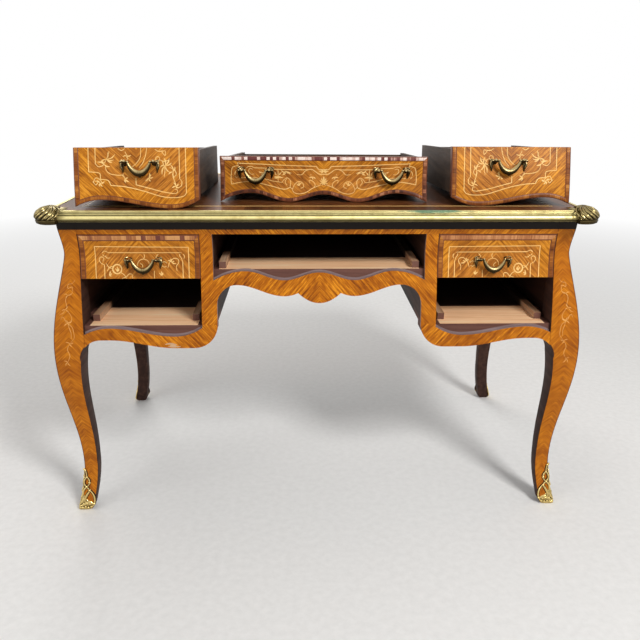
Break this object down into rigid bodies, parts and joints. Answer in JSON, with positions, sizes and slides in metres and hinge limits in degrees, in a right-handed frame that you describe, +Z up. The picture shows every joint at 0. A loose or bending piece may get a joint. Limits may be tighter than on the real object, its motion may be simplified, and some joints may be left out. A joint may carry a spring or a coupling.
{
  "type": "writing desk",
  "caption": "Bombe writing desk with cabriole legs, drawers in its frieze, shaped aprons and a metal-edged desktop; lower and centre drawers stand on the desktop.",
  "frame": {"origin": "on the floor, under the middle of the desk", "axes": "+X to the right as seen from the sitter's side, +Y to the back, +Z up"},
  "size_m": [1.264, 0.734, 0.9048],
  "materials": {
    "veneer": "polished quartered veneer with darker crossbanding",
    "drawer_wood": "dull oiled oak",
    "pale_wood": "plain planed softwood",
    "brass": "aged, soft",
    "gilt": "bright gilt"
  },
  "bodies": {
    "desk": {"desktop_panel": "veneer", "edge_front": "brass", "edge_rear": "brass", "edge_left": "brass", "edge_right": "brass", "corner_mounts": "brass", "leg_front_left": "veneer", "leg_front_right": "veneer", "leg_rear_left": "veneer", "leg_rear_right": "veneer", "sabots": "gilt", "frieze_rail": "veneer", "stile_left": "veneer", "stile_right": "veneer", "apron_left": "veneer", "apron_centre": "veneer", "apron_right": "veneer", "side_panel_left": "veneer", "side_panel_right": "veneer", "back_panel": "veneer", "partition_left": "pale_wood", "partition_right": "pale_wood", "dustboard_left": "pale_wood", "dustboard_centre": "pale_wood", "dustboard_right": "pale_wood", "guide_strips": "pale_wood", "upper_runners": "pale_wood", "corner_blocks": "pale_wood"},
    "upper_left_drawer": {"upper_left_front": "veneer", "upper_left_sides": "drawer_wood", "upper_left_back": "drawer_wood", "upper_left_bottom": "pale_wood", "upper_left_posts": "brass"},
    "upper_right_drawer": {"upper_right_front": "veneer", "upper_right_sides": "drawer_wood", "upper_right_back": "drawer_wood", "upper_right_bottom": "pale_wood", "upper_right_posts": "brass"},
    "lower_left_drawer": {"lower_left_front": "veneer", "lower_left_sides": "drawer_wood", "lower_left_back": "drawer_wood", "lower_left_bottom": "pale_wood", "lower_left_posts": "brass"},
    "lower_right_drawer": {"lower_right_front": "veneer", "lower_right_sides": "drawer_wood", "lower_right_back": "drawer_wood", "lower_right_bottom": "pale_wood", "lower_right_posts": "brass"},
    "centre_drawer": {"centre_front": "veneer", "centre_sides": "drawer_wood", "centre_back": "drawer_wood", "centre_bottom": "pale_wood", "centre_left_posts": "brass", "centre_right_posts": "brass"},
    "upper_left_handle": {"upper_left_bail": "brass"},
    "upper_right_handle": {"upper_right_bail": "brass"},
    "lower_left_handle": {"lower_left_bail": "brass"},
    "lower_right_handle": {"lower_right_bail": "brass"},
    "centre_left_handle": {"centre_left_bail": "brass"},
    "centre_right_handle": {"centre_right_bail": "brass"}
  },
  "joints": [
    {"name": "upper_left_slide", "type": "slide", "parent": "desk", "child": "upper_left_drawer", "axis": [0, -1, 0], "range_m": [0, 0.3]},
    {"name": "upper_right_slide", "type": "slide", "parent": "desk", "child": "upper_right_drawer", "axis": [0, -1, 0], "range_m": [0, 0.3]},
    {"name": "lower_left_lift", "type": "slide", "parent": "desk", "child": "lower_left_drawer", "axis": [0, 0, 1], "range_m": [0, 0.2]},
    {"name": "lower_right_lift", "type": "slide", "parent": "desk", "child": "lower_right_drawer", "axis": [0, 0, 1], "range_m": [0, 0.2]},
    {"name": "centre_lift", "type": "slide", "parent": "desk", "child": "centre_drawer", "axis": [0, 0, 1], "range_m": [0, 0.2]},
    {"name": "upper_left_bail_swing", "type": "hinge", "parent": "upper_left_drawer", "child": "upper_left_handle", "pos_m": [-0.405, -0.32437, 0.65818], "axis": [-1, 0, 0], "range_deg": [0, 90]},
    {"name": "upper_right_bail_swing", "type": "hinge", "parent": "upper_right_drawer", "child": "upper_right_handle", "pos_m": [0.405, -0.32437, 0.65818], "axis": [-1, 0, 0], "range_deg": [0, 90]},
    {"name": "lower_left_bail_swing", "type": "hinge", "parent": "lower_left_drawer", "child": "lower_left_handle", "pos_m": [-0.39787, -0.31181, 0.87617], "axis": [-0.9996, -0.0297, 0], "range_deg": [0, 90]},
    {"name": "lower_right_bail_swing", "type": "hinge", "parent": "lower_right_drawer", "child": "lower_right_handle", "pos_m": [0.43488, -0.27283, 0.87617], "axis": [-0.9996, 0.0279, 0], "range_deg": [0, 90]},
    {"name": "centre_left_bail_swing", "type": "hinge", "parent": "centre_drawer", "child": "centre_left_handle", "pos_m": [-0.14927, -0.219, 0.8473], "axis": [-0.9996, 0.0279, 0], "range_deg": [0, 90]},
    {"name": "centre_right_bail_swing", "type": "hinge", "parent": "centre_drawer", "child": "centre_right_handle", "pos_m": [0.1726, -0.228, 0.8473], "axis": [-0.9996, 0.0279, 0], "range_deg": [0, 90]}
  ]
}
